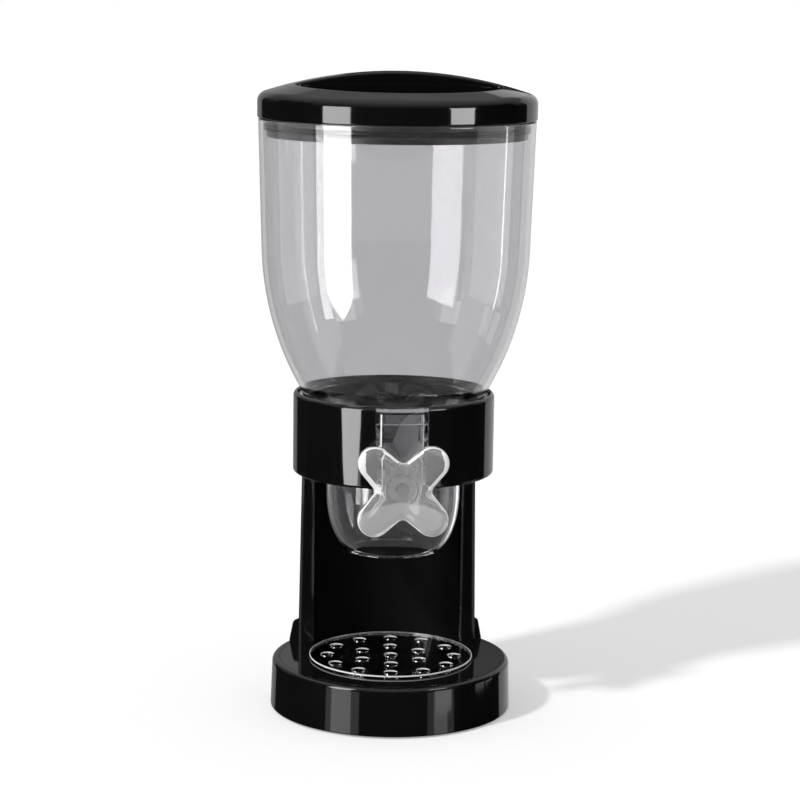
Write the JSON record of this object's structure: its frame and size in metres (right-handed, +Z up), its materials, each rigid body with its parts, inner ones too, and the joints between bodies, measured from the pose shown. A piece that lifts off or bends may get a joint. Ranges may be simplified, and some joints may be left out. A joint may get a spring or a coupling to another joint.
{
  "type": "gravity food dispenser",
  "caption": "Free-standing gravity dispenser for dry food: clear lidded hopper over a hand-turned paddle wheel and outlet cup, held in a ring on a column and round base.",
  "frame": {"origin": "on the table under the hopper's axis, in the plane of the rubber feet's lower faces", "axes": "+Z up along the hopper's axis, the knob faces -Y, +X to the right as seen from the front"},
  "size_m": [0.1624, 0.1624, 0.3782],
  "materials": {
    "black_gloss": "polished black moulded plastic",
    "black_matte": "satin black moulded plastic",
    "rubber_dark": "soft dark grey silicone rubber",
    "steel": "plain stainless steel",
    "clear_smoke": "clear moulded plastic with a light grey tint",
    "clear_bright": "clear moulded acrylic",
    "bushing_grey": "light grey bearing plastic",
    "silicone": "translucent soft silicone"
  },
  "bodies": {
    "stand": {"base_shell": "black_gloss", "base_plate": "black_matte", "base_plate_screws": "steel", "rubber_feet": "rubber_dark", "column_shell": "black_gloss", "column_panel": "black_gloss", "column_screws": "steel", "collar": "black_gloss", "collar_screws": "steel"},
    "hopper_unit": {"hopper": "clear_smoke", "outlet_cup": "clear_smoke", "front_bushing": "bushing_grey", "rear_bushing": "bushing_grey"},
    "paddle_wheel": {"knob": "clear_bright", "paddle_shaft": "steel", "paddle_hub": "bushing_grey", "paddle_blade_1": "silicone", "paddle_blade_2": "silicone", "paddle_blade_3": "silicone", "paddle_blade_4": "silicone", "paddle_blade_5": "silicone", "paddle_blade_6": "silicone", "shaft_clip": "steel"},
    "lid_unit": {"lid": "black_gloss", "lid_plug": "black_matte", "lid_seal": "rubber_dark"},
    "crumb_tray": {"tray": "clear_bright"}
  },
  "joints": [
    {"name": "hopper_lift", "type": "slide", "parent": "stand", "child": "hopper_unit", "axis": [0, 0, 1], "range_m": [0, 0.11]},
    {"name": "knob_turn", "type": "hinge", "parent": "hopper_unit", "child": "paddle_wheel", "pos_m": [0, 0, 0.1448], "axis": [0, 1, 0], "continuous": true},
    {"name": "lid_lift", "type": "slide", "parent": "hopper_unit", "child": "lid_unit", "axis": [0, 0, 1], "range_m": [0, 0.05]},
    {"name": "tray_lift", "type": "slide", "parent": "stand", "child": "crumb_tray", "axis": [0, 0, 1], "range_m": [0, 0.04]}
  ]
}
